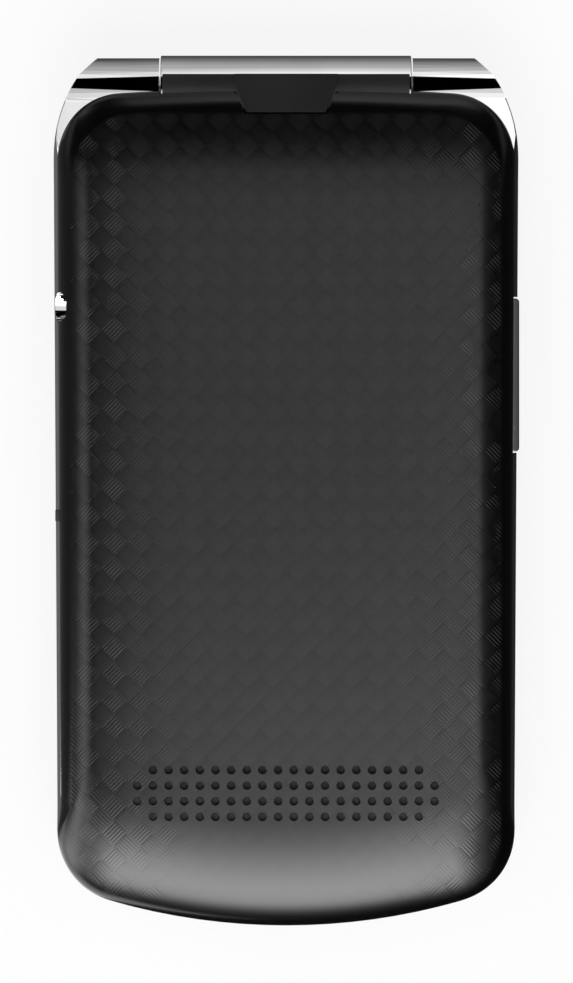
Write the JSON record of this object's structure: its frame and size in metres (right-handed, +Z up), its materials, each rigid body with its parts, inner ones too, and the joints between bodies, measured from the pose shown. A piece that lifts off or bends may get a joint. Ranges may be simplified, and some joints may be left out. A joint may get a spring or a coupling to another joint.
{
  "type": "flip phone",
  "caption": "Folding keypad phone, closed: textured back cover with speaker grille, chrome hinge barrel and knuckles, side volume key, sockets.",
  "frame": {"origin": "centre of the closed phone's box, on the surface that its lid lies on", "axes": "+Z up through the thickness, out of the back cover; +Y towards the hinge; +X to the side with the volume key"},
  "size_m": [0.0551, 0.103, 0.0184],
  "materials": {
    "soft_touch_cover": "soft-touch, embossed with a fine diagonal basket weave",
    "dark_shell": "moulded, satin black",
    "chrome_plate": "bright chrome plate",
    "window_glass": "clear, printed black border",
    "display_panel": "switched off, dark",
    "key_plastic": "satin keys with pale numbers",
    "black_rubber": "matte",
    "circuit_board": "green solder mask",
    "bright_steel": "satin",
    "inner_plastic": "moulded",
    "flex_film": "amber film",
    "battery_wrap": "bare grey wrap",
    "speaker_cloth": "fine woven mesh"
  },
  "bodies": {
    "lid": {"lid_outer_cover": "dark_shell", "lid_inner_cover": "dark_shell", "lid_screws": "bright_steel", "lid_bumpers": "black_rubber", "main_window": "window_glass", "main_display": "display_panel", "outer_window": "window_glass", "outer_display": "display_panel", "camera_ring": "chrome_plate", "camera_lens": "window_glass", "camera_module": "display_panel", "lid_board": "circuit_board", "earpiece": "inner_plastic", "lid_magnet": "bright_steel", "hinge_barrel": "chrome_plate", "hinge_housing": "inner_plastic", "hinge_cam": "inner_plastic", "hinge_spring": "bright_steel", "lid_flex": "flex_film"},
    "base": {"side_frame": "chrome_plate", "front_cover": "dark_shell", "rear_housing": "dark_shell", "keypad_membrane": "black_rubber", "main_board": "circuit_board", "shield_cans": "bright_steel", "card_holder": "bright_steel", "battery": "battery_wrap", "loudspeaker": "inner_plastic", "vibration_motor": "bright_steel", "antenna": "inner_plastic", "usb_port": "bright_steel", "audio_jack": "inner_plastic", "jack_collar": "chrome_plate", "side_plug": "black_rubber", "base_screws": "bright_steel", "hinge_shaft": "bright_steel", "hinge_bush": "bright_steel", "base_flex": "flex_film"},
    "battery_cover": {"battery_cover": "soft_touch_cover", "speaker_mesh": "speaker_cloth"},
    "volume_key": {"volume_key": "chrome_plate"},
    "nav_ring": {"nav_ring": "chrome_plate"},
    "vibration_weight": {"vibration_weight": "bright_steel"},
    "key_1": {"key_1": "key_plastic"},
    "key_2": {"key_2": "key_plastic"},
    "key_3": {"key_3": "key_plastic"},
    "key_4": {"key_4": "key_plastic"},
    "key_5": {"key_5": "key_plastic"},
    "key_6": {"key_6": "key_plastic"},
    "key_7": {"key_7": "key_plastic"},
    "key_8": {"key_8": "key_plastic"},
    "key_9": {"key_9": "key_plastic"},
    "key_star": {"key_star": "key_plastic"},
    "key_0": {"key_0": "key_plastic"},
    "key_hash": {"key_hash": "key_plastic"},
    "key_soft_left": {"key_soft_left": "key_plastic"},
    "key_soft_right": {"key_soft_right": "key_plastic"},
    "key_call": {"key_call": "key_plastic"},
    "key_end": {"key_end": "key_plastic"},
    "key_ok": {"key_ok": "key_plastic"}
  },
  "joints": [
    {"name": "lid_hinge", "type": "hinge", "parent": "lid", "child": "base", "pos_m": [0, 0.0465, 0.0092], "axis": [-1, 0, 0], "range_deg": [0, 160]},
    {"name": "cover_lift", "type": "slide", "parent": "base", "child": "battery_cover", "axis": [0, 0, 1], "range_m": [0, 0.012]},
    {"name": "volume_rock", "type": "hinge", "parent": "base", "child": "volume_key", "pos_m": [0.0253, 0.01358, 0.0118], "axis": [0, 0, 1], "range_deg": [-1.5, 1.5], "stiffness_Nm_per_rad": 0.5},
    {"name": "nav_tilt", "type": "hinge", "parent": "base", "child": "nav_ring", "pos_m": [0, 0.0248, 0.0099], "axis": [1, 0, 0], "range_deg": [-1.2, 1.2], "stiffness_Nm_per_rad": 0.5},
    {"name": "motor_spin", "type": "hinge", "parent": "base", "child": "vibration_weight", "pos_m": [0.021, -0.0286, 0.0149], "axis": [0, 1, 0], "continuous": true},
    {"name": "key_1_press", "type": "slide", "parent": "base", "child": "key_1", "axis": [0, 0, 1], "range_m": [0, 0.0003], "stiffness_N_per_m": 300},
    {"name": "key_2_press", "type": "slide", "parent": "base", "child": "key_2", "axis": [0, 0, 1], "range_m": [0, 0.0003], "stiffness_N_per_m": 300},
    {"name": "key_3_press", "type": "slide", "parent": "base", "child": "key_3", "axis": [0, 0, 1], "range_m": [0, 0.0003], "stiffness_N_per_m": 300},
    {"name": "key_4_press", "type": "slide", "parent": "base", "child": "key_4", "axis": [0, 0, 1], "range_m": [0, 0.0003], "stiffness_N_per_m": 300},
    {"name": "key_5_press", "type": "slide", "parent": "base", "child": "key_5", "axis": [0, 0, 1], "range_m": [0, 0.0003], "stiffness_N_per_m": 300},
    {"name": "key_6_press", "type": "slide", "parent": "base", "child": "key_6", "axis": [0, 0, 1], "range_m": [0, 0.0003], "stiffness_N_per_m": 300},
    {"name": "key_7_press", "type": "slide", "parent": "base", "child": "key_7", "axis": [0, 0, 1], "range_m": [0, 0.0003], "stiffness_N_per_m": 300},
    {"name": "key_8_press", "type": "slide", "parent": "base", "child": "key_8", "axis": [0, 0, 1], "range_m": [0, 0.0003], "stiffness_N_per_m": 300},
    {"name": "key_9_press", "type": "slide", "parent": "base", "child": "key_9", "axis": [0, 0, 1], "range_m": [0, 0.0003], "stiffness_N_per_m": 300},
    {"name": "key_star_press", "type": "slide", "parent": "base", "child": "key_star", "axis": [0, 0, 1], "range_m": [0, 0.0003], "stiffness_N_per_m": 300},
    {"name": "key_0_press", "type": "slide", "parent": "base", "child": "key_0", "axis": [0, 0, 1], "range_m": [0, 0.0003], "stiffness_N_per_m": 300},
    {"name": "key_hash_press", "type": "slide", "parent": "base", "child": "key_hash", "axis": [0, 0, 1], "range_m": [0, 0.0003], "stiffness_N_per_m": 300},
    {"name": "key_soft_left_press", "type": "slide", "parent": "base", "child": "key_soft_left", "axis": [0, 0, 1], "range_m": [0, 0.0003], "stiffness_N_per_m": 300},
    {"name": "key_soft_right_press", "type": "slide", "parent": "base", "child": "key_soft_right", "axis": [0, 0, 1], "range_m": [0, 0.0003], "stiffness_N_per_m": 300},
    {"name": "key_call_press", "type": "slide", "parent": "base", "child": "key_call", "axis": [0, 0, 1], "range_m": [0, 0.0003], "stiffness_N_per_m": 300},
    {"name": "key_end_press", "type": "slide", "parent": "base", "child": "key_end", "axis": [0, 0, 1], "range_m": [0, 0.0003], "stiffness_N_per_m": 300},
    {"name": "key_ok_press", "type": "slide", "parent": "base", "child": "key_ok", "axis": [0, 0, 1], "range_m": [0, 0.0003], "stiffness_N_per_m": 300}
  ]
}
